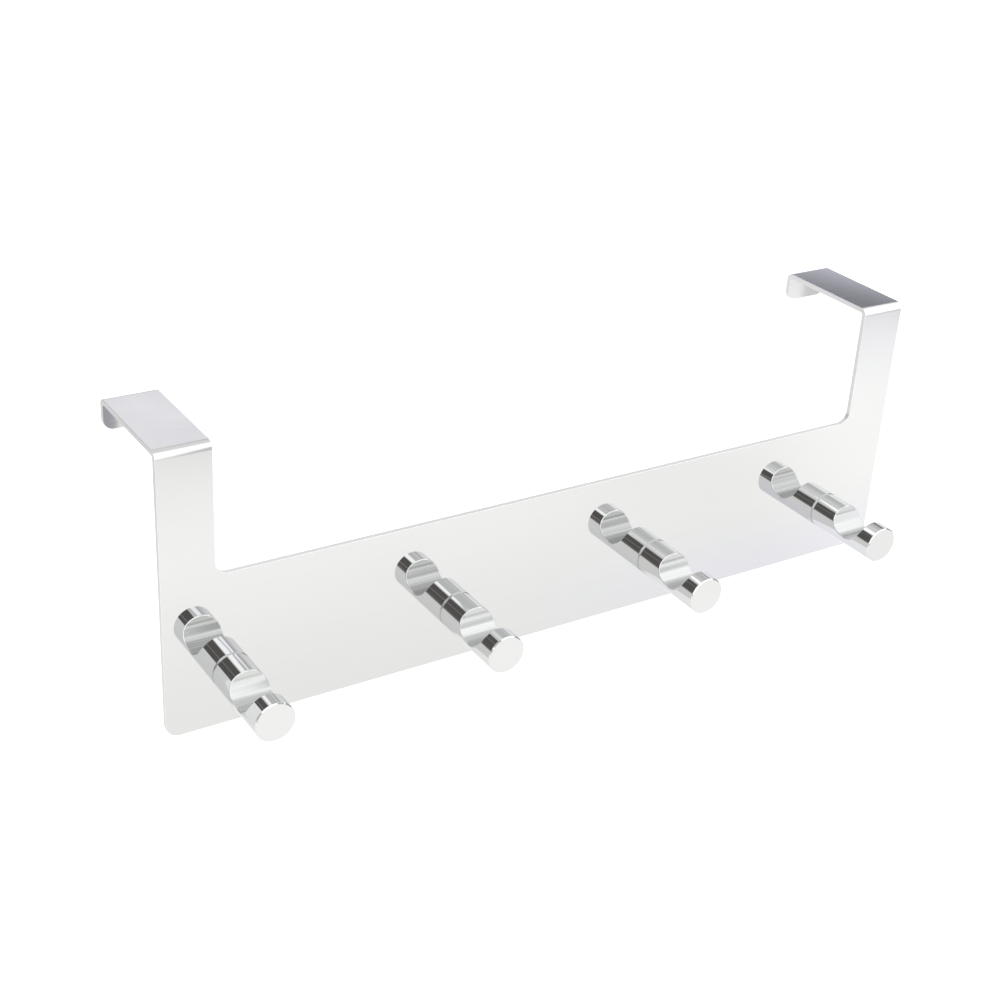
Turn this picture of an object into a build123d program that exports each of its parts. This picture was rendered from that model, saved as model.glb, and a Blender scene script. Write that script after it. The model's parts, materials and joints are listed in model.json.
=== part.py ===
from build123d import *
import math
import os

# An over-door hook rail: one folded metal plate that hangs on the top of a door, with four notched pegs.
# X runs along the rail, +Y from the room towards the door and +Z up. The origin is at mid-length on the
# door's front top edge: the panel's back lies at y = 0 and the undersides of the straps at z = 0.
# All sizes are in millimetres, and the angles in degrees.

# Folded plate
sheet = 2.0
panel_length = 325.0
panel_height = 60.5
panel_corner = 5.0
strap_width = 20.0
strap_rise = 48.0  # from the panel's top edge to the top of the door
strap_corner = 4.5  # between each strap and the panel's top edge
door_gap = 44.5  # from the panel's back to the inside of the lips
lip_drop = 10.0  # below the top of the door
lip_corner = 4.0
fold_radius = 1.0  # inside each fold
edge_break = 0.3  # along the sheet's cut edges

# Pegs
peg_count = 4
left_margin = 11.25  # from the panel's left edge to the first peg's axis
right_margin = 58.75  # from the last peg's axis to the panel's right edge
peg_drop = 17.0  # from the panel's top edge to the pegs' axes
peg_diameter = 14.0
peg_length = 65.0
peg_chamfer = 0.6
end_land = 6.4  # from each end of a peg to the nearer notch
notch_radius = 7.4
notch_sink = 1.5  # of the notches' floor below the peg's axis
notch_break = 0.3  # along the notches' edges
groove_width = 1.1
groove_depth = 0.55

# Countersunk screws that hold the pegs from behind
screw_diameter = 4.0
screw_chamfer = 0.5
head_diameter = 7.5
head_angle = 90.0
head_sink = 0.1  # below the panel's back
recess_width = 1.1
recess_span = 4.4
recess_depth = 1.6
recess_taper = 8.0

# Clearances and walls
shank_clearance = 0.25  # round a screw, in the plate
seat_clearance = 0.05  # under a screw's head
thread_clearance = 0.05  # round a screw, in the peg
tip_clearance = 0.5  # beyond a screw's tip
mouth_chamfer = 0.6  # of the tapped holes
notch_wall = 0.7  # between a tapped hole and the first notch
match = 0.001  # within which an edge lies at a height

# Places that follow from the sizes
panel_bottom = -strap_rise - panel_height
lip_face = door_gap + sheet
peg_radius = peg_diameter / 2
peg_z = -strap_rise - peg_drop
peg_pitch = (panel_length - left_margin - right_margin) / (peg_count - 1)
peg_xs = [-panel_length / 2 + left_margin + i * peg_pitch for i in range(peg_count)]
notch_rise = notch_radius - notch_sink
notch_half_chord = math.sqrt(notch_radius**2 - (peg_radius - notch_rise) ** 2)
notch_place = end_land + notch_half_chord
tapped_radius = screw_diameter / 2 + thread_clearance
tapped_depth = notch_place - math.sqrt((notch_radius + notch_wall) ** 2 - (notch_rise - tapped_radius) ** 2)
screw_reach = sheet + tapped_depth - tip_clearance
head_slope = math.tan(math.radians(head_angle / 2))
head_height = (head_diameter - screw_diameter) / 2 / head_slope
sink_radius = head_diameter / 2 + seat_clearance + head_sink * head_slope


def peg_axis(x):
    return Axis((x, 0, peg_z), (0, 1, 0))


def peg_side(x, y):
    """The plane through a peg's axis, with its first axis up and its second one out into the room."""
    return Plane(origin=(x, y, peg_z), x_dir=(0, 0, 1), z_dir=(1, 0, 0))


# The plate is the folded section drawn out to full length, opened between the straps.
with BuildPart() as hook_plate:
    with BuildSketch(Plane.YZ):
        with BuildLine():
            FilletPolyline(
                (-sheet, panel_bottom),
                (-sheet, sheet),
                (lip_face, sheet),
                (lip_face, -lip_drop),
                radius=fold_radius + sheet,
            )
            offset(amount=sheet, side=Side.RIGHT)
        make_face()
    extrude(amount=panel_length / 2, both=True)

    with BuildSketch(Plane.XZ):
        with Locations((0, -strap_rise)):
            Rectangle(
                panel_length - 2 * strap_width,
                strap_rise + 2 * sheet,
                align=(Align.CENTER, Align.MIN),
            )
    extrude(amount=2 * lip_face, both=True, mode=Mode.SUBTRACT)

    for height, radius in (
        (panel_bottom, panel_corner),
        (-strap_rise, strap_corner),
        (-lip_drop, lip_corner),
    ):
        corners = hook_plate.edges().filter_by(Axis.Y)
        fillet(corners.filter_by_position(Axis.Z, height - match, height + match), radius)

    # The upright cut edges are broken, and the break runs on round both of the sheet's smooth outlines.
    chamfer(hook_plate.faces().filter_by(Axis.X).edges().filter_by(Axis.Z), edge_break)

    with Locations(*[Plane(origin=(x, 0, peg_z), z_dir=(0, 1, 0)) for x in peg_xs]):
        CounterSinkHole(
            screw_diameter / 2 + shank_clearance,
            sink_radius,
            depth=2 * sheet,
            counter_sink_angle=head_angle,
        )

hook_plate.part.label = "hook_plate"


# Each peg is a turned bar with a ring groove at its middle, tapped in its root and notched across its top.
def turned_peg(x):
    middle = peg_length / 2
    with BuildPart() as peg:
        with BuildSketch(peg_side(x, -sheet)):
            with BuildLine():
                Polyline(
                    (0, tapped_depth),
                    (tapped_radius, tapped_depth),
                    (tapped_radius, mouth_chamfer),
                    (tapped_radius + mouth_chamfer, 0),
                    (peg_radius, 0),
                    (peg_radius, middle - groove_width / 2),
                    (peg_radius - groove_depth, middle),
                    (peg_radius, middle + groove_width / 2),
                    (peg_radius, peg_length - peg_chamfer),
                    (peg_radius - peg_chamfer, peg_length),
                    (0, peg_length),
                    close=True,
                )
            make_face()
        revolve(axis=peg_axis(x))

        with BuildSketch(peg_side(x, -sheet)):
            with Locations((notch_rise, notch_place), (notch_rise, peg_length - notch_place)):
                Circle(notch_radius)
        extrude(amount=peg_diameter, both=True, mode=Mode.SUBTRACT)
        chamfer(peg.edges(Select.LAST).filter_by(GeomType.BSPLINE), notch_break)
    return peg.part


pegs = []
for number, x in enumerate(peg_xs, start=1):
    peg = turned_peg(x)
    peg.label = f"peg_{number}"
    pegs.append(peg)


# The screws are alike: a flat countersunk head with a cross recess, just below the panel's back.
with BuildPart() as peg_screws:
    for x in peg_xs:
        with BuildSketch(peg_side(x, 0)):
            with BuildLine():
                Polyline(
                    (0, head_sink),
                    (head_diameter / 2, head_sink),
                    (screw_diameter / 2, head_sink + head_height),
                    (screw_diameter / 2, screw_reach - screw_chamfer),
                    (screw_diameter / 2 - screw_chamfer, screw_reach),
                    (0, screw_reach),
                    close=True,
                )
            make_face()
        revolve(axis=peg_axis(x))

        with BuildSketch(Plane(origin=(x, -head_sink, peg_z), z_dir=(0, 1, 0))):
            Rectangle(recess_span, recess_width)
            Rectangle(recess_width, recess_span)
        extrude(amount=-recess_depth, taper=recess_taper, mode=Mode.SUBTRACT)

peg_screws.part.label = "peg_screws"

os.makedirs("parts", exist_ok=True)
for piece in (hook_plate.part, *pegs, peg_screws.part):
    export_step(piece, f"parts/{piece.label}.step")
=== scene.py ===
# %% [markdown]
# # An over-door hook rail
#
# The object hangs on the top of a door: one long metal sheet, folded over the door at both ends, with
# four bright pegs for coats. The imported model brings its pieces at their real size, in metres, with X
# along the rail, Y from the room into the door and Z up. Everything below is fitted to that model, and
# nothing in it is moved.

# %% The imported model
import bmesh
import bpy
import json
import math
import numpy as np
from mathutils import Matrix, Vector


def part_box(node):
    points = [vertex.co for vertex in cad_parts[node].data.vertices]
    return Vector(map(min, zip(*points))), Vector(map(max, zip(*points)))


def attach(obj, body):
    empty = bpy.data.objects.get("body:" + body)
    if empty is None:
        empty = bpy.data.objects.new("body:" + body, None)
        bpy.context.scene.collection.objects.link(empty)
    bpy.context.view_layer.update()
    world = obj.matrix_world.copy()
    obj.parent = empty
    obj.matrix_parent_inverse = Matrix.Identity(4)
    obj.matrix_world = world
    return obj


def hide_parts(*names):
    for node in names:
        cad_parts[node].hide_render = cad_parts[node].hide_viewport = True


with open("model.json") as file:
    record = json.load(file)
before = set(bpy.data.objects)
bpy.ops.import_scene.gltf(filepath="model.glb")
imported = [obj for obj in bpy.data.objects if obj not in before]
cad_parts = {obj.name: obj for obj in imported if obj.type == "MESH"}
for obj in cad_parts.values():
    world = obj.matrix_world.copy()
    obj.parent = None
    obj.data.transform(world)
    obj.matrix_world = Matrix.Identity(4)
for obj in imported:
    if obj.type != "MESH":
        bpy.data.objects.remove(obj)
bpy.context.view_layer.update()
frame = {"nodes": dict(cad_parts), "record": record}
MM = 0.001
mounts = {mount["name"]: mount for mount in frame["record"]["mounts"]}
print("pieces:", sorted(frame["nodes"]))

# %% [markdown]
# ## The camera
#
# The rail is seen from its left front and from above, as by someone who walks up to the door. A camera is
# placed by hand or worked out from known corners of the object. Here its place and angles come from the
# corners of the sheet, so that every edge falls where it does in the picture. The small roll is the
# photographer's own.

# %% Camera
CAMERA_PLACE = Vector((-0.3394, -0.4694, 0.2448))
CAMERA_HEADING = 33.53  # degrees to the right of straight at the door
CAMERA_DOWN = 27.35
CAMERA_ROLL = 3.43
CAMERA_LENS = 61.66  # mm, on a sensor 36 mm wide
SENSOR = 36.0

camera = bpy.data.objects.new("camera", bpy.data.cameras.new("camera"))
camera.data.lens = CAMERA_LENS
camera.data.sensor_width = SENSOR
heading = Matrix.Rotation(math.radians(-CAMERA_HEADING), 4, "Z")
tilt = Matrix.Rotation(math.radians(90 - CAMERA_DOWN), 4, "X")
roll = Matrix.Rotation(math.radians(CAMERA_ROLL), 4, "Z")
camera.matrix_world = Matrix.Translation(CAMERA_PLACE) @ heading @ tilt @ roll
bpy.context.scene.collection.objects.link(camera)
bpy.context.scene.camera = camera
bpy.context.scene.view_settings.view_transform = "Standard"
print("camera at", [round(c, 3) for c in camera.matrix_world.translation])

# %% [markdown]
# ## The folded sheet
#
# The plate starts as a flat blank: a strip with two long tabs, its corners rounded and its edges broken
# by tumbling. A press then folds each tab back over the door and down behind it. A box with cut-outs
# could be bevelled into this shape, but the folds would then be guessed. Here the blank is drawn flat,
# given its thickness and its rounded edge, cut across where it bends, and then folded by moving every
# point along the path that the real sheet follows.

# %% Sizes of the sheet
plate_low, plate_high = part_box("hook_plate")
PANEL_LENGTH = plate_high.x - plate_low.x
SHEET = plate_high.z  # the straps' undersides lie at height 0
LIP_FACE = plate_high.y
PANEL_BOTTOM = plate_low.z
STRAP_RISE = 48.0 * MM
STRAP_WIDTH = 20.0 * MM
LIP_DROP = 10.0 * MM
PANEL_CORNER = 5.0 * MM
STRAP_CORNER = 4.5 * MM
LIP_CORNER = 4.0 * MM
FOLD_OUTSIDE = 3.0 * MM
EDGE_ROUND = 0.15 * MM
CORNER_STEPS = 12
FOLD_STEPS = 16
EDGE_STEPS = 4

FOLD_ARC = FOLD_OUTSIDE * math.pi / 2
TOP_RUN = LIP_FACE + SHEET - 2 * FOLD_OUTSIDE
LIP_RUN = SHEET + LIP_DROP - FOLD_OUTSIDE
FIRST_FOLD = SHEET - FOLD_OUTSIDE - PANEL_BOTTOM
SECOND_FOLD = FIRST_FOLD + FOLD_ARC + TOP_RUN
BLANK_LENGTH = SECOND_FOLD + FOLD_ARC + LIP_RUN
PANEL_TOP = -STRAP_RISE - PANEL_BOTTOM
print("blank in mm:", [round(side / MM, 1) for side in (PANEL_LENGTH, BLANK_LENGTH, SHEET)])


# %% Outline of the blank
def blank_outline(inset):
    """Points of the blank's outline, drawn inwards by an inset, as (along the rail, up the blank)."""
    half = PANEL_LENGTH / 2
    inner = half - STRAP_WIDTH
    corners = [
        (-half, 0, PANEL_CORNER), (half, 0, PANEL_CORNER),
        (half, BLANK_LENGTH, LIP_CORNER), (inner, BLANK_LENGTH, LIP_CORNER),
        (inner, PANEL_TOP, STRAP_CORNER), (-inner, PANEL_TOP, STRAP_CORNER),
        (-inner, BLANK_LENGTH, LIP_CORNER), (-half, BLANK_LENGTH, LIP_CORNER),
    ]
    points = []
    for place, (x, v, radius) in enumerate(corners):
        corner = Vector((x, v))
        back = (Vector(corners[place - 1][:2]) - corner).normalized()
        on = (Vector(corners[(place + 1) % len(corners)][:2]) - corner).normalized()
        hollow = back.x * on.y - back.y * on.x > 0
        centre = corner + (back + on) * radius
        reach = radius + inset if hollow else radius - inset
        for step in range(CORNER_STEPS + 1):
            turn = step / CORNER_STEPS * math.pi / 2
            points.append(centre - reach * (on * math.cos(turn) + back * math.sin(turn)))
    return points


print("outline points:", len(blank_outline(0)))


# %% Folding path
def folded(x, v, depth):
    """Where a point of the blank lies once folded: depth is measured into the sheet from its outside."""
    if v <= FIRST_FOLD:
        return Vector((x, depth - SHEET, PANEL_BOTTOM + v))
    if v <= FIRST_FOLD + FOLD_ARC:
        turn = (v - FIRST_FOLD) / FOLD_OUTSIDE
        reach = FOLD_OUTSIDE - depth
        centre_y, centre_z = FOLD_OUTSIDE - SHEET, SHEET - FOLD_OUTSIDE
        return Vector((x, centre_y - reach * math.cos(turn), centre_z + reach * math.sin(turn)))
    if v <= SECOND_FOLD:
        return Vector((x, FOLD_OUTSIDE - SHEET + v - FIRST_FOLD - FOLD_ARC, SHEET - depth))
    if v <= SECOND_FOLD + FOLD_ARC:
        turn = (v - SECOND_FOLD) / FOLD_OUTSIDE
        reach = FOLD_OUTSIDE - depth
        centre_y, centre_z = LIP_FACE - FOLD_OUTSIDE, SHEET - FOLD_OUTSIDE
        return Vector((x, centre_y + reach * math.sin(turn), centre_z + reach * math.cos(turn)))
    return Vector((x, LIP_FACE - depth, SHEET - FOLD_OUTSIDE - (v - SECOND_FOLD - FOLD_ARC)))


print("the blank's far end folds to", [round(c / MM, 2) for c in folded(0, BLANK_LENGTH, 0)])

# %% [markdown]
# The screw holes are drilled and countersunk from the back. Each is three rings: the hole on the front,
# the start of the countersink inside the sheet and its mouth on the back. Flat faces with holes are
# filled with triangles, which costs nothing on a flat surface. The faces of the cut edge are marked,
# because they are finished in another way than the flats, and the rings' edges are marked sharp, so that
# the flat round them stays flat.

# %% Helpers for the blank
HOLE_RADIUS = 2.25 * MM
SINK_RADIUS = 3.9 * MM
HOLE_STEPS = 48
pegs = [mounts[name] for name in sorted(mounts) if name.startswith("peg_") and name.count("_") == 1]


def ring_of(shape, points, depth):
    """A closed ring of vertices on the blank at one depth."""
    return [shape.verts.new((point[0], point[1], depth)) for point in points]


def wall_between(shape, first, second):
    """Quads between two rings with as many points."""
    for place in range(len(first)):
        after = (place + 1) % len(first)
        shape.faces.new((first[place], first[after], second[after], second[place]))


def closed_edges(shape, ring):
    """The edges along a ring."""
    return [shape.edges.get((ring[place - 1], ring[place])) for place in range(len(ring))]


def circle_on_blank(mount, radius):
    """A circle round a peg's axis on the blank."""
    x, v = mount["pos_m"][0], mount["pos_m"][2] - PANEL_BOTTOM
    turns = [step / HOLE_STEPS * 2 * math.pi for step in range(HOLE_STEPS)]
    return [(x + radius * math.cos(turn), v + radius * math.sin(turn)) for turn in turns]


print("holes to drill:", len(pegs))

# %% Blank with its thickness, rounded edge and holes
blank = bmesh.new()
cut_edge = blank.faces.layers.float.new("cut_edge")
edge_turns = [step / EDGE_STEPS * math.pi / 2 for step in range(EDGE_STEPS + 1)]
levels = [(EDGE_ROUND * (1 - math.sin(turn)), EDGE_ROUND * (1 - math.cos(turn))) for turn in edge_turns]
levels += [(inset, SHEET - depth) for inset, depth in reversed(levels)]
rim = [ring_of(blank, blank_outline(inset), depth) for inset, depth in levels]
for lower, upper in zip(rim, rim[1:]):
    wall_between(blank, lower, upper)
for face in blank.faces:
    face[cut_edge] = 1.0
front_loops = closed_edges(blank, rim[0])
back_loops = closed_edges(blank, rim[-1])
for mount in pegs:
    front_ring = ring_of(blank, circle_on_blank(mount, HOLE_RADIUS), 0)
    neck_ring = ring_of(blank, circle_on_blank(mount, HOLE_RADIUS), SHEET - (SINK_RADIUS - HOLE_RADIUS))
    back_ring = ring_of(blank, circle_on_blank(mount, SINK_RADIUS), SHEET)
    wall_between(blank, front_ring, neck_ring)
    wall_between(blank, neck_ring, back_ring)
    front_loops += closed_edges(blank, front_ring)
    back_loops += closed_edges(blank, back_ring)
    for ring in (front_ring, neck_ring, back_ring):
        for edge in closed_edges(blank, ring):
            edge.smooth = False
for loops in (front_loops, back_loops):
    bmesh.ops.triangle_fill(blank, use_beauty=True, use_dissolve=False, edges=loops)
print("flat blank:", len(blank.verts), "vertices,", len(blank.faces), "faces")

# %% [markdown]
# A fold needs points to bend at. The blank is cut across at even steps of each fold, and then every
# vertex is carried to its folded place. A closed mesh should have all its faces looking outwards: if its
# volume comes out negative, they look inwards and are turned round. Weighted normals keep the wide flats
# flat and let the shading roll over the folds and the edges.

# %% Folding
CUT_TOLERANCE = 1e-7
for fold in (FIRST_FOLD, SECOND_FOLD):
    for step in range(FOLD_STEPS + 1):
        cut = {"plane_co": (0, fold + FOLD_ARC * step / FOLD_STEPS, 0), "plane_no": (0, 1, 0)}
        everything = blank.verts[:] + blank.edges[:] + blank.faces[:]
        bmesh.ops.bisect_plane(blank, geom=everything, dist=CUT_TOLERANCE, **cut)
for vertex in blank.verts:
    vertex.co = folded(*vertex.co)
bmesh.ops.recalc_face_normals(blank, faces=blank.faces)
if blank.calc_volume(signed=True) < 0:
    bmesh.ops.reverse_faces(blank, faces=blank.faces)
print("metal in the sheet:", round(blank.calc_volume(signed=True) / MM**3), "cubic millimetres")

# %% Folded plate in its place
FLATS_FIRST = 100  # the weight of large faces in the normals
for face in blank.faces:
    face.smooth = True
plate_mesh = bpy.data.meshes.new("folded_plate")
blank.to_mesh(plate_mesh)
blank.free()
folded_plate = bpy.data.objects.new("folded_plate", plate_mesh)
bpy.context.scene.collection.objects.link(folded_plate)
shading = folded_plate.modifiers.new("weighted normals", "WEIGHTED_NORMAL")
shading.weight = FLATS_FIRST
shading.keep_sharp = True
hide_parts("hook_plate")
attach(folded_plate, "root")
print("folded plate:", len(plate_mesh.vertices), "vertices,", len(plate_mesh.polygons), "faces")

# %% [markdown]
# ## The pegs
#
# Each peg is a bar turned on a lathe, with a fine ring groove at its middle, a chamfered free end whose
# edges are softened, and two half-round notches milled across its top. Cutting cylinders out of a
# cylinder with booleans would do, but a mirror finish shows every uneven normal, and the polished lip
# round each notch would be missing. So the peg is worked out: the lip is the track of a small ball rolled
# along the inside of the bar's skin and the notch's wall, and each corner of each face is given its true
# normal.

# %% Sizes of a peg
PEG_RADIUS = pegs[0]["dims"]["r_mm"] * MM
PEG_LENGTH = pegs[0]["dims"]["length_mm"] * MM
NOTCH_RADIUS = mounts["peg_1_inner_notch"]["dims"]["r_mm"] * MM
notch_floors = [Vector(mounts[f"peg_1_{where}_notch"]["pos_m"]) for where in ("inner", "outer")]
NOTCH_PLACES = [-floor.y - SHEET for floor in notch_floors]
NOTCH_RISE = notch_floors[0].z - pegs[0]["pos_m"][2] + NOTCH_RADIUS
LIP_ROUND = 0.3 * MM
END_CHAMFER = 0.4 * MM
END_SOFT = 0.15 * MM  # rounding of the chamfer's own two edges
END_REACH = END_CHAMFER + END_SOFT * math.tan(math.pi / 8)
GROOVE_WIDTH = 1.1 * MM
GROOVE_DEPTH = 0.55 * MM
TAPPED_RADIUS = 2.05 * MM
TAPPED_DEPTH = 6.59 * MM
MOUTH_CHAMFER = 0.6 * MM
RIM_STEPS = 48
BELOW_STEPS = 28
LIP_STEPS = 5
END_STEPS = 3
print("notches at", [round(place / MM, 2) for place in NOTCH_PLACES], "mm from the panel")


# %% Track of the ball along a notch's edge
FINE_STEPS = 4000


def evenly_spaced(track, count):
    """A track resampled to points an even distance apart."""
    strides = np.linalg.norm(np.diff(track, axis=0), axis=1)
    travelled = np.concatenate([[0], np.cumsum(strides)])
    wanted = np.linspace(0, travelled[-1], count + 1)
    return np.stack([np.interp(wanted, travelled, column) for column in track.T], axis=1)


def ball_track():
    """The ball's centres from the top of the bar down to the notch's floor, on one side of one notch, as
    (across, along from the notch's middle, up from the bar's axis)."""
    bar, wall = PEG_RADIUS - LIP_ROUND, NOTCH_RADIUS + LIP_ROUND
    highest = math.acos((NOTCH_RISE - bar) / wall)
    swing = np.linspace(0, 1, FINE_STEPS) ** 2 * highest
    up = NOTCH_RISE - wall * np.cos(highest - swing)
    across = np.sqrt(np.maximum(bar**2 - up**2, 0))
    along = wall * np.sin(highest - swing)
    return evenly_spaced(np.stack([across, along, up], axis=1), RIM_STEPS)


track = ball_track()
skin_angles = np.arctan2(track[:, 2], track[:, 0])
print("the lip leaves the bar's top at", round(track[0, 1] / MM, 2), "mm from the notch's middle")


# %% Faces that carry their own normals
class Shell:
    """Collects vertices and faces, with a normal for each corner of each face and a path for tool marks."""

    def __init__(self):
        self.points = []
        self.index = {}
        self.faces = []
        self.normals = []
        self.paths = []
        self.milled_and_shaded = []

    def point(self, place):
        """The number of the vertex at a place, made if it is new."""
        key = tuple(round(c / MM, 4) for c in place)
        if key not in self.index:
            self.index[key] = len(self.points)
            self.points.append(tuple(place))
        return self.index[key]

    def face(self, corners, milled_and_shaded=0.0):
        """Corners are (place, normal, path), and corners that fall together are dropped."""
        kept = []
        for place, normal, path in corners:
            number = self.point(place)
            if number not in [k[0] for k in kept]:
                kept.append((number, normal, path))
        if len(kept) < 3:
            return
        ring = [Vector(self.points[k[0]]) for k in kept]
        fan = [(ring[i - 1] - ring[0]).cross(ring[i] - ring[0]) for i in range(2, len(ring))]
        if sum(fan, Vector()).dot(Vector(kept[0][1])) < 0:
            kept.reverse()
        self.faces.append([k[0] for k in kept])
        self.normals.extend(tuple(k[1]) for k in kept)
        self.paths.extend(k[2] for k in kept)
        self.milled_and_shaded.extend(milled_and_shaded for _ in kept)


print("each corner of a face keeps its own normal")


# %% Turned skin
def skin_point(angle, along, radius):
    """A place on the bar: the angle is measured from across (+X) towards up (+Z)."""
    return (radius * math.cos(angle), -along, radius * math.sin(angle))


def turned_strip(shell, first, second, profile, dull_and_shaded=0.0):
    """Quads between two angles along a profile of (along, radius, path, slope at its start, slope at its
    end), one list for each angle."""
    for place in range(len(profile[0]) - 1):
        corners = []
        for angle, side, step in ((first, 0, 0), (second, 1, 0), (second, 1, 1), (first, 0, 1)):
            along, radius, path = profile[side][place + step][:3]
            slope = profile[side][place][3 + step]
            normal = (math.cos(slope) * math.cos(angle), -math.sin(slope), math.cos(slope) * math.sin(angle))
            corners.append((skin_point(angle, along, radius), normal, path))
        shell.face(corners, milled_and_shaded=dull_and_shaded)


def plain_run(start, end):
    """A straight run of the bar's skin."""
    return [(start, PEG_RADIUS, start, 0.0, 0.0), (end, PEG_RADIUS, end, 0.0, 0.0)]


def groove_run():
    """The ring groove: two slopes that meet at its bottom."""
    middle, slope = PEG_LENGTH / 2, math.atan2(GROOVE_DEPTH, GROOVE_WIDTH / 2)
    return [
        (middle - GROOVE_WIDTH / 2, PEG_RADIUS, middle - GROOVE_WIDTH / 2, slope, slope),
        (middle, PEG_RADIUS - GROOVE_DEPTH, middle, -slope, -slope),
        (middle + GROOVE_WIDTH / 2, PEG_RADIUS, middle + GROOVE_WIDTH / 2, 0.0, 0.0),
    ]


print("groove", round(GROOVE_WIDTH / MM, 2), "mm wide")


# %% Free end and root
FACE_SHARES = (0.66, 0.33, 0.0)  # rings on the flat end, as shares of its radius


def free_end_run():
    """The chamfer with its softened edges, the flat end and the facing tool's path to the middle."""
    run = []
    eighth = math.pi / 4
    edges = (
        (PEG_LENGTH - END_REACH, PEG_RADIUS - END_SOFT, 0.0),
        (PEG_LENGTH - END_SOFT, PEG_RADIUS - END_REACH, eighth),
    )
    for middle_along, middle_radius, start in edges:
        for step in range(END_STEPS + 1):
            turn = start + eighth * step / END_STEPS
            ahead = start + eighth * min(step + 1, END_STEPS) / END_STEPS
            along = middle_along + END_SOFT * math.sin(turn)
            radius = middle_radius + END_SOFT * math.cos(turn)
            run.append((along, radius, along, turn, ahead))
    for share in FACE_SHARES:
        radius = (PEG_RADIUS - END_REACH) * share
        path = PEG_LENGTH + PEG_RADIUS - radius
        run.append((PEG_LENGTH, radius, path, math.pi / 2, math.pi / 2))
    return run


def root_run():
    """The root's flat face against the panel, and the tapped hole in it."""
    flat, wall, mouth = -math.pi / 2, math.pi, -math.pi * 3 / 4
    return [
        (TAPPED_DEPTH, 0.0, 0.0, flat, flat),
        (TAPPED_DEPTH, TAPPED_RADIUS, 0.0, wall, wall),
        (MOUTH_CHAMFER, TAPPED_RADIUS, 0.0, mouth, mouth),
        (0.0, TAPPED_RADIUS + MOUTH_CHAMFER, 0.0, flat, flat),
        (0.0, PEG_RADIUS, 0.0, flat, flat),
    ]


print("points in the profiles:", len(free_end_run()), "at the free end,", len(root_run()), "at the root")


# %% Notches and their lips
def lip_corner(step, side, end, notch, share):
    """A corner on the rounded lip: share 0 is on the bar's skin and share 1 on the notch's wall."""
    across, along, up = track[step]
    to_skin = Vector((across * side, 0, up)).normalized()
    to_wall = Vector((0, -along * end, NOTCH_RISE - up)).normalized()
    opening = to_skin.angle(to_wall)
    skin_part = math.sin(opening * (1 - share)) / math.sin(opening)
    wall_part = math.sin(opening * share) / math.sin(opening)
    normal = to_skin * skin_part + to_wall * wall_part
    place = Vector((across * side, along * end, up)) + normal * LIP_ROUND
    path = NOTCH_RADIUS * math.atan2(along * end, NOTCH_RISE - up)
    return (place.x, -notch - place.y, place.z), (normal.x, -normal.y, normal.z), path


def milled_notch(shell, notch, dull_and_shaded):
    """One notch: its wall, ruled straight across the bar, and the lip on both sides."""
    for end in (-1, 1):
        for step in range(RIM_STEPS):
            wall = [lip_corner(step + ahead, side, end, notch, 1.0)
                    for ahead, side in ((0, -1), (0, 1), (1, 1), (1, -1))]
            shell.face(wall, milled_and_shaded=dull_and_shaded)
            for side in (-1, 1):
                for strip in range(LIP_STEPS):
                    shares = (strip / LIP_STEPS, (strip + 1) / LIP_STEPS)
                    lip = [lip_corner(step + ahead, side, end, notch, shares[far])
                           for ahead, far in ((0, 0), (1, 0), (1, 1), (0, 1))]
                    shell.face(lip)


print("lip:", round(LIP_ROUND / MM, 2), "mm round, in", LIP_STEPS, "strips")

# %% [markdown]
# The whole peg is sewn together from strips that run from the top of the bar down to its underside, on
# both sides. Every strip is divided at the same places, also below the notches, so that no vertex lies in
# the middle of a neighbour's edge: the mesh is then closed. Faces that the polishing wheel hardly
# reached, in the notches and the groove, carry a mark for the finish. The same mark carries painted
# shade, which darkens these faces, most in the groove and the notch by the panel.

# %% Whole peg
INNER_DULL_SHADED = 1.0  # how little of the polish reaches the groove and the notch by the panel, and their painted shade
OUTER_DULL_SHADED = 0.4  # and the notch by the free end, with less painted shade


def skin_spans(reach):
    """The stretches of plain skin along the bar, where the notches reach so far from their middles."""
    near, far = NOTCH_PLACES
    return [
        (0.0, near - reach),
        (near + reach, PEG_LENGTH / 2 - GROOVE_WIDTH / 2),
        (PEG_LENGTH / 2 + GROOVE_WIDTH / 2, far - reach),
        (far + reach, PEG_LENGTH - END_REACH),
    ]


def peg_shell():
    """One peg round the origin, with its root at y = 0 and its free end towards the room."""
    shell = Shell()
    runs = ((root_run(), 0.0), (groove_run(), INNER_DULL_SHADED), (free_end_run(), 0.0))
    below = np.linspace(skin_angles[-1], -math.pi / 2, BELOW_STEPS + 1)[1:]
    angles = [*skin_angles, *below]
    reaches = [*track[:, 1], *(0.0 for _ in below)]
    for mirrored in (False, True):
        turned = [math.pi - angle for angle in angles] if mirrored else angles
        for step in range(len(angles) - 1):
            first, second = turned[step], turned[step + 1]
            for spans in zip(skin_spans(reaches[step]), skin_spans(reaches[step + 1])):
                turned_strip(shell, first, second, [plain_run(*span) for span in spans])
            for run, dull_and_shaded in runs:
                turned_strip(shell, first, second, [run, run], dull_and_shaded)
    for notch, dull_and_shaded in zip(NOTCH_PLACES, (INNER_DULL_SHADED, OUTER_DULL_SHADED)):
        milled_notch(shell, notch, dull_and_shaded)
    return shell


shell = peg_shell()
print("peg:", len(shell.points), "vertices,", len(shell.faces), "faces")


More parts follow.
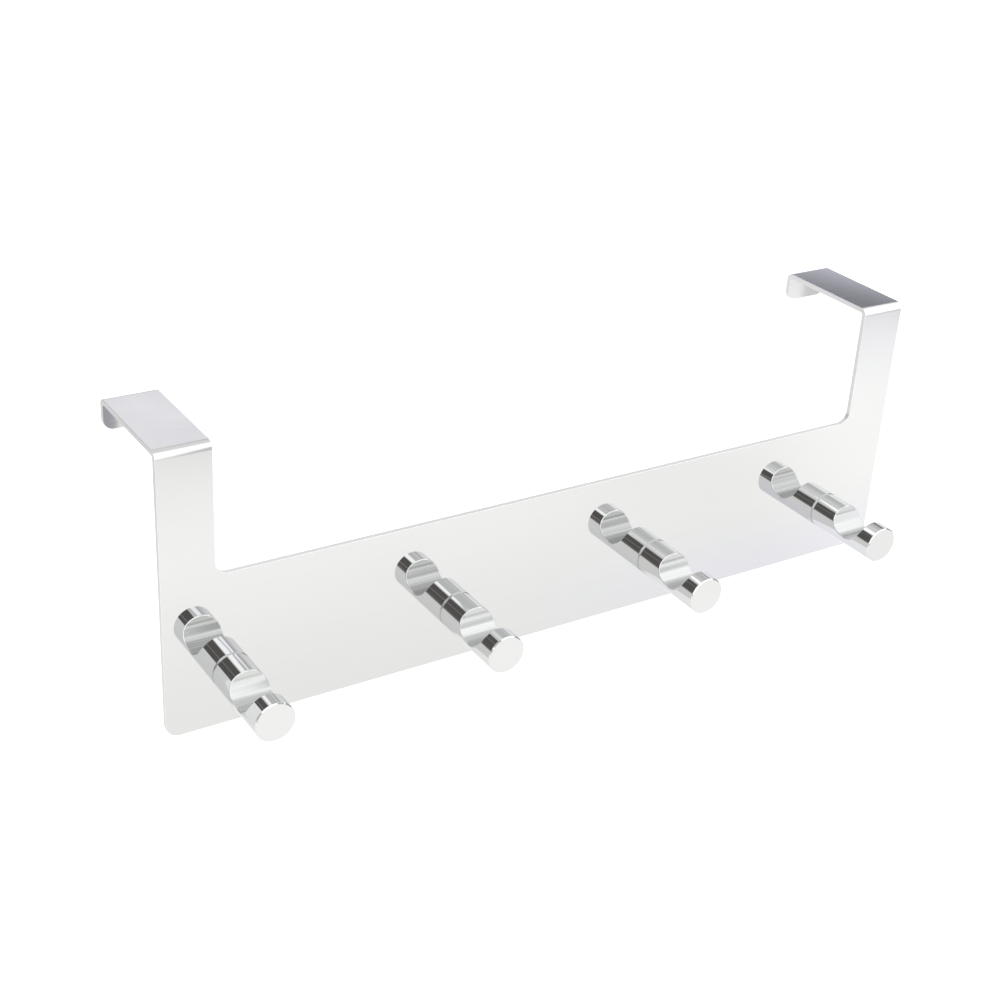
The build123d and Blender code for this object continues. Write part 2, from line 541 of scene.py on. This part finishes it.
# %% Pegs in their places
def peg_piece(name, mount):
    """A peg's mesh at its mount, with its corner normals, its tool path and its milled faces, whose mark also
    carries painted shade.
    """
    root = Vector((mount["pos_m"][0], -SHEET, mount["pos_m"][2]))
    mesh = bpy.data.meshes.new(name)
    mesh.from_pydata([root + Vector(point) for point in shell.points], [], shell.faces)
    path = mesh.attributes.new("tool_path", "FLOAT", "CORNER")
    path.data.foreach_set("value", [value / MM for value in shell.paths])
    # the mark of milled faces also carries the painted shade of the groove and the notches
    milled_and_shaded = mesh.attributes.new("milled_and_shaded", "FLOAT", "CORNER")
    milled_and_shaded.data.foreach_set("value", shell.milled_and_shaded)
    mesh.shade_smooth()
    mesh.normals_split_custom_set(shell.normals)
    piece = bpy.data.objects.new(name, mesh)
    bpy.context.scene.collection.objects.link(piece)
    return piece


peg_pieces = []
for mount in pegs:
    piece = peg_piece("turned_" + mount["name"], mount)
    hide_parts(mount["name"])
    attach(piece, "root")
    peg_pieces.append(piece)
print("pegs:", [piece.name for piece in peg_pieces])

# %% [markdown]
# ## Finishes
#
# Three metals: the sheet is steel with a fine satin polish, the pegs are chromed to a mirror and the
# screws are bright zinc. None of them is one flat grey. A polished sheet keeps the fine lines of its last
# belt, hands leave a faint haze, and an edge that is rubbed has another gloss than the flats beside it.
# Those three effects are shared, so each is a node group, made once and given its own values in each
# material. A group gives only masks and heights that change over the surface. The shader itself, and
# every number that is the same all over, stays in the material.

# %% Helpers for nodes
def place_node(tree, kind, inputs, **settings):
    """A node with its settings, and each input either set to a value or wired to another node's output."""
    node = tree.nodes.new(kind)
    for name, value in settings.items():
        setattr(node, name, value)
    for name, value in inputs.items():
        if isinstance(value, bpy.types.NodeSocket):
            tree.links.new(value, node.inputs[name])
        else:
            node.inputs[name].default_value = value
    return node


def ramp_value(tree, value, span, levels):
    """A value carried smoothly from a span to two levels, and held at both ends."""
    limits = {"From Min": span[0], "From Max": span[1], "To Min": levels[0], "To Max": levels[1]}
    ramp = place_node(tree, "ShaderNodeMapRange", {"Value": value, **limits}, interpolation_type="SMOOTHSTEP")
    return ramp.outputs["Result"]


def calculate(tree, operation, *values):
    """One step of arithmetic on values."""
    return place_node(tree, "ShaderNodeMath", dict(enumerate(values)), operation=operation).outputs["Value"]


def effect_group(name, inputs, output):
    """An empty node group with named inputs of (kind, first value) and one named output, always a value."""
    tree = bpy.data.node_groups.new(name, "ShaderNodeTree")
    for socket, (kind, value) in inputs.items():
        made = tree.interface.new_socket(socket, in_out="INPUT", socket_type=kind)
        if value is not None:
            made.default_value = value
    tree.interface.new_socket(output, in_out="OUTPUT", socket_type="NodeSocketFloat")
    return tree, tree.nodes.new("NodeGroupInput"), tree.nodes.new("NodeGroupOutput")


FULL = (0.0, 1.0)  # from none of an effect to all of it
print("node helpers ready")

# %% [markdown]
# Rubbed edges: the Bevel node gives the normal that a softened edge would have. Where it leans away from
# the true normal there is an edge, so the difference between the two is the mask. Painting the edges by
# hand would have to be done again after every change of shape.

# %% Rubbed edges
EDGE_LEAN = (0.995, 0.85)  # how far the two normals agree on a flat and on an edge
rubbed_edges, inlet, outlet = effect_group("rubbed_edges", {"Reach": ("NodeSocketFloat", 0.5 * MM)}, "Mask")
softened = place_node(rubbed_edges, "ShaderNodeBevel", {"Radius": inlet.outputs["Reach"]}, samples=6)
surface = place_node(rubbed_edges, "ShaderNodeNewGeometry", {})
normals = {0: softened.outputs["Normal"], 1: surface.outputs["Normal"]}
agreement = place_node(rubbed_edges, "ShaderNodeVectorMath", normals, operation="DOT_PRODUCT")
edge_mask = ramp_value(rubbed_edges, agreement.outputs["Value"], EDGE_LEAN, FULL)
rubbed_edges.links.new(edge_mask, outlet.inputs["Mask"])
print("group:", rubbed_edges.name)

# %% [markdown]
# Fine lines: noise that is stretched along the way the tool went becomes lines. The group takes the place
# to look up, so the sheet can feed it a stretched position, and a peg the path of its cutting tool.

# %% Fine lines
fine_lines, inlet, outlet = effect_group("fine_lines", {"Place": ("NodeSocketVector", None)}, "Height")
streaks = {"Vector": inlet.outputs["Place"], "Scale": 1.0, "Detail": 3.0, "Roughness": 0.6}
lines = place_node(fine_lines, "ShaderNodeTexNoise", streaks)
line_height = ramp_value(fine_lines, lines.outputs["Fac"], (0.3, 0.7), FULL)
fine_lines.links.new(line_height, outlet.inputs["Height"])
print("group:", fine_lines.name)

# %% [markdown]
# Handling haze: metal that was wiped and carried has wide, soft patches where it is a little less
# polished. Two sizes of noise, one warping the other, keep the patches from looking like clouds.

# %% Handling haze
handling_haze, inlet, outlet = effect_group("handling_haze", {"Patches": ("NodeSocketFloat", 20.0)}, "Mask")
spot = place_node(handling_haze, "ShaderNodeTexCoord", {})
wide = {"Vector": spot.outputs["Object"], "Scale": inlet.outputs["Patches"], "Detail": 2.0}
drift = place_node(handling_haze, "ShaderNodeTexNoise", wide)
warped = {**wide, "Detail": 5.0, "Roughness": 0.55, "Distortion": drift.outputs["Fac"]}
patches = place_node(handling_haze, "ShaderNodeTexNoise", warped)
haze_mask = ramp_value(handling_haze, patches.outputs["Fac"], (0.42, 0.68), FULL)
handling_haze.links.new(haze_mask, outlet.inputs["Mask"])
print("group:", handling_haze.name)

# %% [markdown]
# A material starts from its shader, and the groups are placed in it with its own values. The small
# functions below only save typing: a new metal, a group placed in it, a colour that shifts between two
# shades, and the wires from colour, roughness and relief to the shader.

# %% Helpers for materials
def new_metal(name):
    """A metal with its node tree and its shader."""
    material = bpy.data.materials.new(name)
    material.use_nodes = True
    shader = material.node_tree.nodes["Principled BSDF"]
    shader.inputs["Metallic"].default_value = 1.0
    return material, material.node_tree, shader


def place_group(tree, group, inputs):
    """A group placed in a material, and its only output."""
    return place_node(tree, "ShaderNodeGroup", inputs, node_tree=group).outputs[0]


def stored_value(tree, name):
    """A value that was stored on the mesh."""
    return place_node(tree, "ShaderNodeAttribute", {}, attribute_name=name).outputs["Fac"]


def shade_between(tree, mask, first, second):
    """A colour that goes from one shade to another with a mask. A shade is a colour or a node's output."""
    inputs = {"Factor": mask}
    for name, shade in (("A", first), ("B", second)):
        inputs[name] = shade if isinstance(shade, bpy.types.NodeSocket) else (*shade, 1.0)
    return place_node(tree, "ShaderNodeMix", inputs, data_type="RGBA").outputs["Result"]


def scaled_place(tree, scale):
    """The place on the object, stretched by a scale for each axis."""
    place = place_node(tree, "ShaderNodeTexCoord", {})
    stretched = place_node(tree, "ShaderNodeMapping", {"Vector": place.outputs["Object"], "Scale": scale})
    return stretched.outputs["Vector"]


def wire_metal(tree, shader, shade, rough, height, strength, depth):
    """Wires a metal's colour, roughness and relief to its shader."""
    bumps = {"Height": height, "Strength": strength, "Distance": depth}
    relief = place_node(tree, "ShaderNodeBump", bumps).outputs["Normal"]
    for output, name in ((shade, "Base Color"), (rough, "Roughness"), (relief, "Normal")):
        tree.links.new(output, shader.inputs[name])


print("material helpers ready")

# %% [markdown]
# The sheet is polished along its length, so its lines run along X: the noise is stretched about a hundred
# times that way. The lines change the shade a little, the roughness more, and the height by less than a
# thousandth of a millimetre. Hazy patches are rougher. The cut edge was only tumbled to take off its
# burr, so it is paler and more matt than the polished flats.

# %% Satin steel of the sheet
LINE_STRETCH = (12.0, 1100.0, 1100.0)  # noise periods in a metre, along and across the sheet
SHEET_SHADES = ((0.616, 0.617, 0.618), (0.624, 0.625, 0.626))
TUMBLED_SHADES = ((0.77, 0.77, 0.775), (0.74, 0.74, 0.745))
satin_steel, tree, shader = new_metal("satin_steel")
belt_lines = place_group(tree, fine_lines, {"Place": scaled_place(tree, LINE_STRETCH)})
sheet_haze = place_group(tree, handling_haze, {"Patches": 14.0})
sheet_edges = stored_value(tree, "cut_edge")
polished_shade = shade_between(tree, belt_lines, *SHEET_SHADES)
tumbled_shade = shade_between(tree, sheet_haze, *TUMBLED_SHADES)
sheet_shade = shade_between(tree, sheet_edges, polished_shade, tumbled_shade)
line_rough = ramp_value(tree, belt_lines, FULL, (0.16, 0.19))
haze_rough = ramp_value(tree, sheet_haze, FULL, (0.0, 0.05))
edge_rough = ramp_value(tree, sheet_edges, FULL, (0.0, 0.3))
sheet_rough = calculate(tree, "ADD", calculate(tree, "ADD", line_rough, haze_rough), edge_rough)
wire_metal(tree, shader, sheet_shade, sheet_rough, belt_lines, strength=0.02, depth=0.02 * MM)
folded_plate.data.materials.append(satin_steel)
print("material:", satin_steel.name)

# %% [markdown]
# A peg was turned, so the lathe left rings round it, and the mill left lines across each notch. The
# tool's path is stored on the mesh in millimetres, so one look-up along that path gives both. Polishing
# has nearly removed the rings on the outside, while the notches, which a wheel can't reach, are duller
# and still show their lines. Painted shade also darkens their colour, most in the groove and the notch
# by the panel. Seen at a grazing angle any metal turns white, and the shader's tint for that angle holds
# it back a little.

# %% Mirror chrome of the pegs
RING_PITCH = 5.0  # lines in a millimetre on turned faces
MILL_PITCH = 1.2  # lines in a millimetre in the notches
MILLED = (0.0, OUTER_DULL_SHADED)  # the lines are whole as soon as a face is milled at all
BRIGHT_SHADES = ((0.610, 0.613, 0.617), (0.616, 0.619, 0.623))
# tones for the groove and the notches: dull finish darkened with painted shade
DULL_SHADED_TONES = ((0.290, 0.296, 0.294), (0.420, 0.426, 0.424))
mirror_chrome, tree, shader = new_metal("mirror_chrome")
shader.inputs["Specular Tint"].default_value = (0.82, 0.825, 0.83, 1.0)
milled_and_shaded = stored_value(tree, "milled_and_shaded")
pitch = ramp_value(tree, milled_and_shaded, MILLED, (RING_PITCH, MILL_PITCH))
travelled = calculate(tree, "MULTIPLY", stored_value(tree, "tool_path"), pitch)
along_path = place_node(tree, "ShaderNodeCombineXYZ", {"X": travelled}).outputs["Vector"]
tool_lines = place_group(tree, fine_lines, {"Place": along_path})
peg_haze = place_group(tree, handling_haze, {"Patches": 60.0})
peg_edges = place_group(tree, rubbed_edges, {"Reach": 0.4 * MM})
bright_shade = shade_between(tree, tool_lines, *BRIGHT_SHADES)
# the groove and the notches take the dull tones, which are dull finish and painted shade
dull_shaded_tone = shade_between(tree, tool_lines, *DULL_SHADED_TONES)
chrome_shade = shade_between(tree, milled_and_shaded, bright_shade, dull_shaded_tone)
notch_rough = ramp_value(tree, milled_and_shaded, MILLED, (0.03, 0.22))
haze_rough = ramp_value(tree, peg_haze, FULL, (0.0, 0.02))
edge_rough = ramp_value(tree, peg_edges, FULL, (0.0, 0.02))
peg_rough = calculate(tree, "ADD", calculate(tree, "ADD", notch_rough, haze_rough), edge_rough)
seen_lines = calculate(tree, "MULTIPLY", tool_lines, ramp_value(tree, milled_and_shaded, MILLED, (0.03, 1.0)))
wire_metal(tree, shader, chrome_shade, peg_rough, seen_lines, strength=0.2, depth=0.02 * MM)
for piece in peg_pieces:
    piece.data.materials.append(mirror_chrome)
print("material:", mirror_chrome.name, "on", len(peg_pieces), "pegs")

# %% [markdown]
# The screws are bought parts in bright zinc, which is bluer than chrome, mottled and a little dull. The
# cross in a screw's head is darkened with painted shade: an ambient occlusion node measures how open each
# place is, and where it is closed in, the zinc gives way to a dark painted shade. The screws keep their
# packed meshes and get this finish in their material slots.

# %% Bright zinc of the screws
ZINC_GRAIN = (900.0, 900.0, 900.0)
ZINC_SHADES = ((0.52, 0.55, 0.58), (0.66, 0.68, 0.70))
# painted shade for the closed-in cross of each screw's head
RECESS_PAINTED_SHADE = (0.09, 0.095, 0.1)
bright_zinc, tree, shader = new_metal("bright_zinc")
zinc_lines = place_group(tree, fine_lines, {"Place": scaled_place(tree, ZINC_GRAIN)})
zinc_haze = place_group(tree, handling_haze, {"Patches": 260.0})
zinc_edges = place_group(tree, rubbed_edges, {"Reach": 0.3 * MM})
# an ambient occlusion mask paints shade where the head is closed in
openness = place_node(tree, "ShaderNodeAmbientOcclusion", {"Distance": 1.5 * MM}, samples=8).outputs["AO"]
unshaded_share = ramp_value(tree, openness, (0.25, 0.85), FULL)
zinc_shade = shade_between(tree, unshaded_share, RECESS_PAINTED_SHADE, shade_between(tree, zinc_haze, *ZINC_SHADES))
line_rough = ramp_value(tree, zinc_lines, FULL, (0.24, 0.34))
edge_gloss = ramp_value(tree, zinc_edges, FULL, (0.0, 0.08))
zinc_rough = calculate(tree, "SUBTRACT", line_rough, edge_gloss)
wire_metal(tree, shader, zinc_shade, zinc_rough, zinc_haze, strength=0.1, depth=0.1 * MM)
screws = frame["nodes"]["peg_screws"]
for slot in screws.material_slots:
    slot.material = bright_zinc
print("material:", bright_zinc.name, "in", len(screws.material_slots), "slots")

# %% [markdown]
# ## The studio
#
# Polished metal has hardly a colour of its own: it shows the room. So the room is built from cards, as a
# product photographer builds it, and each card is placed by following a mirror's ray from the metal.
# Light alone would leave the pegs white: the black card behind them is what makes them read as chrome.
#
# Two liberties are taken, because the picture shows them. The panel carries no image of the pegs, and the
# stripes on the pegs run on unbroken to the panel, so sheet, pegs and screws are left out of each other's
# reflections. And the floor that the camera sees is plain white, while the metal sees a floor with pools
# of light on it.

# %% Helpers for glowing cards
def new_glow(name, tone, tint, one_sided):
    """A glowing material. Tone and tint are values, or sockets made by a function that is given the tree."""
    material = bpy.data.materials.new(name)
    material.use_nodes = True
    tree = material.node_tree
    tree.nodes.clear()
    glow = {"Strength": tone(tree) if callable(tone) else tone}
    glow["Color"] = tint(tree) if callable(tint) else (*tint, 1.0)
    surface = place_node(tree, "ShaderNodeEmission", glow).outputs["Emission"]
    if one_sided:
        facing = place_node(tree, "ShaderNodeNewGeometry", {})
        clear = place_node(tree, "ShaderNodeBsdfTransparent", {})
        sides = {0: facing.outputs["Backfacing"], 1: surface, 2: clear.outputs["BSDF"]}
        surface = place_node(tree, "ShaderNodeMixShader", sides).outputs["Shader"]
    place_node(tree, "ShaderNodeOutputMaterial", {"Surface": surface})
    return material


def stage_card(name, corners, tone, tint=(1.0, 1.0, 1.0), one_sided=False):
    """A glowing card that only reflections see."""
    mesh = bpy.data.meshes.new(name)
    mesh.from_pydata(corners, [], [range(len(corners))])
    mesh.materials.append(new_glow(name, tone, tint, one_sided))
    card = bpy.data.objects.new(name, mesh)
    bpy.context.scene.collection.objects.link(card)
    card.visible_camera = False
    card.visible_diffuse = False
    card.visible_shadow = False
    return card


for piece in (folded_plate, *peg_pieces, screws):
    piece.visible_glossy = False
print("left out of reflections:", 2 + len(peg_pieces), "pieces")


# %% Helpers for places on cards
def rectangle(left, right, low, high):
    """The corners of an upright rectangle, as (across, up)."""
    return [(left, low), (right, low), (right, high), (left, high)]


def card_place(tree):
    """The X, Y and Z of a place on a card."""
    place = place_node(tree, "ShaderNodeTexCoord", {})
    return place_node(tree, "ShaderNodeSeparateXYZ", {"Vector": place.outputs["Object"]}).outputs


def distance_from(tree, value, middle):
    """How far a value lies from a middle, to either side."""
    return calculate(tree, "ABSOLUTE", calculate(tree, "SUBTRACT", value, middle))


print("card helpers ready")

# %% [markdown]
# The floor is two sheets. The camera sees the first, plain and white. The metal sees the second: a pool
# of light in front of the rail, a shadow line beyond it, two bright areas at the front of the room, dim
# far ends and a dimmer floor behind the panel. It is a little green, and violet at the right.

# %% Floor
WHITE_TONE = 1.4  # bright enough to be plain white in every view
FLOOR_REACH = 4.0
FLOOR_DROP = 0.5 * MM  # below the panel's bottom edge
POOL_Y = -0.125
LEFT_FRONT_X = 0.06
GREENISH = (0.993, 1.0, 0.978)
VIOLET = (0.995, 0.99, 1.03)
floor_z = PANEL_BOTTOM - FLOOR_DROP


def floor_tone(tree):
    """The tone of the floor as the metal sees it: the pool, and then what is added to it or taken away."""
    spot = card_place(tree)
    x, y = spot["X"], spot["Y"]
    from_pool = distance_from(tree, y, POOL_Y)
    from_left_front = distance_from(tree, x, LEFT_FRONT_X)
    slanted = calculate(tree, "MULTIPLY_ADD", y, 0.5, x)
    left_front = ramp_value(tree, from_left_front, (0.12, 0.17), (1.0, 0.0))
    right_front = ramp_value(tree, x, (0.34, 0.4), (0.0, 1.0))
    dip = ramp_value(tree, x, (0.05, 0.12), (0.0, -0.06))
    far_ends = ramp_value(tree, distance_from(tree, x, 0.0), (0.36, 0.46), (0.0, -0.85))
    shadow_line = ramp_value(tree, y, (-0.21, -0.26), (0.0, -0.6))
    front = ramp_value(tree, y, (-0.32, -0.38), (0.0, 1.0))
    shared = (
        (dip, ramp_value(tree, y, (-0.05, -0.09), FULL)),
        (far_ends, ramp_value(tree, from_pool, (0.13, 0.17), (1.0, 0.0))),
        (shadow_line, ramp_value(tree, x, (-0.14, 0.0), (0.25, 1.0))),
        (front, calculate(tree, "ADD", left_front, right_front)),
    )
    tone = ramp_value(tree, from_pool, (0.0, 0.13), (1.42, 1.26))
    for change, share in shared:
        tone = calculate(tree, "MULTIPLY_ADD", change, share, tone)
    right = ramp_value(tree, slanted, (0.095, 0.205), (0.0, 0.16))
    far_right = ramp_value(tree, x, (0.26, 0.3), (0.0, -0.045))
    behind = ramp_value(tree, y, (-0.002, 0.002), (0.0, -0.33))
    for change in (right, far_right, behind):
        tone = calculate(tree, "ADD", tone, change)
    return tone


def floor_tint(tree):
    """A little green, and violet at the right: close to the panel and far from it."""
    spot = card_place(tree)
    close = ramp_value(tree, spot["Y"], (-0.045, -0.012), FULL)
    close_right = ramp_value(tree, spot["X"], (-0.02, 0.08), FULL)
    far = ramp_value(tree, spot["Y"], (-0.13, -0.19), FULL)
    far_right = ramp_value(tree, spot["X"], (0.15, 0.25), FULL)
    share = calculate(tree, "MULTIPLY_ADD", far, far_right, calculate(tree, "MULTIPLY", close, close_right))
    return shade_between(tree, share, GREENISH, VIOLET)


floor_square = rectangle(-FLOOR_REACH, FLOOR_REACH, -FLOOR_REACH, FLOOR_REACH)
floor_corners = [(x, y, floor_z) for x, y in floor_square]
floor = stage_card("floor", floor_corners, WHITE_TONE)
floor.visible_camera = True
floor.visible_glossy = False
stage_card("mirrored_floor", floor_corners, floor_tone, floor_tint)
print("floor at", round(floor_z / MM, 1), "mm")

# %% [markdown]
# The black card makes the dark stripe along the pegs. It is a little lighter at its foot, and one seam in
# it shows as a thin line in the first peg's stripe. Three bright strips stand to its right, one above the
# other. The pegs' upper sides show them as white and pale grey lines.

# %% Black card and bright strips behind the rail
CARD_Y = 0.37
CARD_EDGE = -0.16
CARD_SLANT = -0.3485  # how far the black card goes back for each unit along X
SEAM_X = -0.413
WARM_BLACK = (1.0, 0.965, 0.93)


def on_black(x, z):
    """A corner in the black card's plane."""
    return (x, CARD_Y + CARD_SLANT * (x - CARD_EDGE), z)


def upright(outline):
    """Corners of a card that stands square behind the rail, from an outline of (x, z)."""
    return [(x, CARD_Y, z) for x, z in outline]


def black_tone(tree):
    """Nearly black, lighter at the foot and in the seam."""
    spot = card_place(tree)
    foot = ramp_value(tree, spot["Z"], (-0.03, 0.09), (0.24, 0.125))
    seam = ramp_value(tree, distance_from(tree, spot["X"], SEAM_X), (0.0, 0.03), (0.14, 0.0))
    return calculate(tree, "ADD", foot, seam)


black_outline = [(CARD_EDGE, -0.038), (-0.774, -0.038), (-0.774, 0.45), (-0.235, 0.45), (CARD_EDGE, 0.225)]
stage_card("black_card", [on_black(*spot) for spot in black_outline], black_tone, WARM_BLACK)
strips = (
    ("low_strip", [(-0.145, 0.235), (0.0, 0.235), (-0.065, 0.33), (-0.15, 0.33)], 1.42),
    ("high_strip", [(-0.125, 0.338), (0.01, 0.338), (0.038, 0.42), (-0.125, 0.42)], 1.05),
    ("top_strip", rectangle(-0.175, 0.015, 0.422, 0.54), 1.65),
)
for name, outline, tone in strips:
    stage_card(name, upright(outline), tone)
print("one black card and", len(strips), "strips stand", round(CARD_Y / MM), "mm behind the door's front")

# %% [markdown]
# The tops of the straps look up at the back of the room. The left one meets a light card there, which a
# thin card carries on to the right. The right one meets a dark card that is tilted to stand edge-on to
# the fourth peg, which therefore doesn't show it. A dim shelf lower down gives the sheet's top edge its
# thin dark line.

# %% Cards for the tops of the straps
TILT_RISE = 0.95  # height gained for each unit along X
TILT_SLANT = -4.05  # how far back the tilted card's tone shifts for each unit along X
COOL_LIGHT = (0.985, 0.98, 1.04)
COOL_DARK = (0.97, 0.97, 1.1)
last_peg = Vector(pegs[-1]["pos_m"])


def light_tone(tree):
    """Dimmer at its foot."""
    return ramp_value(tree, card_place(tree)["Z"], (0.145, 0.18), (1.15, 1.34))


def tilted_corner(x, y):
    """A corner of the card that lies in a plane through the last peg's axis."""
    return (x, y, last_peg.z + TILT_RISE * (x - last_peg.x))


def tilted_tone(tree):
    """Lighter towards the back and the left."""
    spot = card_place(tree)
    slanted = calculate(tree, "MULTIPLY_ADD", spot["X"], TILT_SLANT, spot["Y"])
    return ramp_value(tree, slanted, (-0.79, -0.66), (0.21, 0.8))


stage_card("light_card", upright(rectangle(-0.09, 0.09, 0.135, 0.215)), light_tone, COOL_LIGHT)
stage_card("thin_card", upright(rectangle(0.09, 0.4, 0.168, 0.196)), 0.98)
stage_card("dim_shelf", upright(rectangle(0.015, 0.52, 0.108, 0.148)), 0.6)
tilted_outline = rectangle(0.17, 0.27, 0.0, 0.18)
stage_card("tilted_card", [tilted_corner(*spot) for spot in tilted_outline], tilted_tone, COOL_DARK)
print("the tilted card leans", round(math.degrees(math.atan(TILT_RISE))), "degrees")

# %% [markdown]
# Overhead hangs one large softbox, and a white wall stands in front. Together they are what the rounded
# folds show as a white band. The softbox ends on a slant, further back at the right, because the band is
# wider there. Before the wall stands a grey screen, which the notches show as a grey stripe. Two small
# shades close before the straps draw the thin dark line below each white band.

# %% Softbox, front wall, grey screen and shades
BOX_HEIGHT = 1.0
WALL_LEFT = -1.5
WALL_RIGHT = 2.5
WALL_Y = -1.5
SCREEN_Y = -0.9
SHADE_Y = -0.1


def facing_door(outline, y):
    """Corners of a card that faces the door at a distance, from an outline of (x, z)."""
    return [(x, y, z) for x, z in outline]


softbox_front = [(WALL_LEFT, WALL_Y), (WALL_RIGHT, WALL_Y)]
softbox_outline = [*softbox_front, (WALL_RIGHT, 0.5), (0.9, 0.2), (0.2, -0.33), (WALL_LEFT, -0.8)]
softbox = stage_card("softbox", [(x, y, BOX_HEIGHT) for x, y in softbox_outline], 1.8)
wall_outline = rectangle(WALL_LEFT, WALL_RIGHT, floor_z, BOX_HEIGHT)
stage_card("front_wall", facing_door(wall_outline, WALL_Y), 1.7)
screen_outline = [(0.33, 0.15), (0.8, 0.15), (0.8, 0.75), (0.36, 0.75)]
stage_card("grey_screen", facing_door(screen_outline, SCREEN_Y), 1.0)
left_edge = [(-0.108, 0.03), (-0.116, 0.0), (-0.124, -0.03)]
left_outline = [(-0.124, -0.044), (-0.07, -0.044), (-0.07, 0.03), *left_edge]
stage_card("left_shade", facing_door(left_outline, SHADE_Y), 0.72)
stage_card("right_shade", facing_door(rectangle(0.225, 0.285, -0.048, -0.014), SHADE_Y), 0.9)
print("softbox", round(softbox.dimensions.x, 2), "m wide")

# %% [markdown]
# Two large dark flags stand far out to the left and the right. The view from the left front hardly meets
# them, but someone who walks round the rail does: they draw a dark stripe along the pegs from the sides
# too, and keep the sheet's edges from melting into the white.

# %% Side flags
FLAG_X = 1.6
flag_outline = rectangle(-0.6, 0.7, floor_z, 0.75)
for name, x, tone in (("left_flag", -FLAG_X, 0.22), ("right_flag", FLAG_X, 0.55)):
    stage_card(name, [(x, y, z) for y, z in flag_outline], tone)
print("flags", round(2 * FLAG_X, 1), "m apart")

# %% [markdown]
# Small cards close to the rail do the rest. Two white ones stand at its left end, for the first peg's
# lower side. Two lie on the floor behind it, a dim one and a light one, for the right strap's cut edges.
# Two hang between the straps' folds and look at the lips: these glow on one side only, so the pegs don't
# show them. A small dark shade behind the rail darkens the top of the last peg's free end.

# %% Small cards
LEFT_CARD_X = -0.19
LYING_Z = floor_z + 0.5 * MM
TIP_Y = 0.088
LIP_CARD_LOW = -0.06
COOL_GREY = (0.97, 0.98, 1.08)


def at_left(near, far, top):
    """Corners of a card that stands on the floor at the rail's left end."""
    return [(LEFT_CARD_X, y, z) for y, z in rectangle(near, far, floor_z, top)]


def lying(outline):
    """Corners of a card that lies on the floor."""
    return [(x, y, LYING_Z) for x, y in outline]


def before_lip(left, right):
    """Corners of a card that hangs before a lip, and faces it."""
    return [(x, LIP_FACE / 2, z) for x, z in reversed(rectangle(left, right, LIP_CARD_LOW, 0.0))]


tip_outline = [(0.237, 0.0723), (0.278, 0.011), (0.313, 0.0346), (0.272, 0.0958)]
small_cards = (
    ("low_white", at_left(-0.004, 0.048, -0.048), 0.93),
    ("high_white", at_left(-0.04, -0.004, -0.028), 1.18),
    ("near_glint", lying([(0.045, 0.105), (-0.03, 0.105), (-0.105, 0.21), (-0.02, 0.21)]), 0.85),
    ("far_glint", lying(rectangle(-0.14, -0.01, 0.21, 0.33)), 1.5),
    ("tip_shade", [(x, TIP_Y, z) for x, z in tip_outline], 0.35),
)
for name, corners, tone in small_cards:
    stage_card(name, corners, tone)
stage_card("left_lip_card", before_lip(-0.17, -0.1497), 0.48, COOL_GREY, one_sided=True)
stage_card("right_lip_card", before_lip(0.171, 0.2), 0.9, one_sided=True)
print("small cards:", len(small_cards), "and two before the lips")

# %% [markdown]
# The rest of the room is the world: an even grey that grows lighter to the right and overhead, and dimmer
# at both far ends, so that the pegs keep their shape when they are seen from the side. For the camera it
# is white, so that every view has the same plain background.

# %% Room
ROOM_TONE = 0.74
RIGHT_GAIN = 0.6
ABOVE_GAIN = 0.3
ENDS_SHARE = 0.4
PLAIN = (1.0, 1.0, 1.0, 1.0)
world = bpy.data.worlds.new("studio")
world.use_nodes = True
tree = world.node_tree
tree.nodes.clear()
outlook = place_node(tree, "ShaderNodeTexCoord", {})
way = place_node(tree, "ShaderNodeSeparateXYZ", {"Vector": outlook.outputs["Generated"]}).outputs
to_right = ramp_value(tree, way["X"], (0.52, 0.76), (ROOM_TONE, ROOM_TONE + RIGHT_GAIN))
above = ramp_value(tree, way["Z"], (0.65, 0.85), (0.0, ABOVE_GAIN))
ends = ramp_value(tree, distance_from(tree, way["X"], 0.0), (0.8, 0.92), (1.0, ENDS_SHARE))
room_tone = calculate(tree, "MULTIPLY", calculate(tree, "ADD", to_right, above), ends)
room = place_node(tree, "ShaderNodeBackground", {"Strength": room_tone, "Color": PLAIN})
white = place_node(tree, "ShaderNodeBackground", {"Strength": WHITE_TONE, "Color": PLAIN})
ray = place_node(tree, "ShaderNodeLightPath", {})
views = {0: ray.outputs["Is Camera Ray"], 1: room.outputs[0], 2: white.outputs[0]}
either = place_node(tree, "ShaderNodeMixShader", views)
place_node(tree, "ShaderNodeOutputWorld", {"Surface": either.outputs[0]})
bpy.context.scene.world = world
print("room tone", ROOM_TONE)
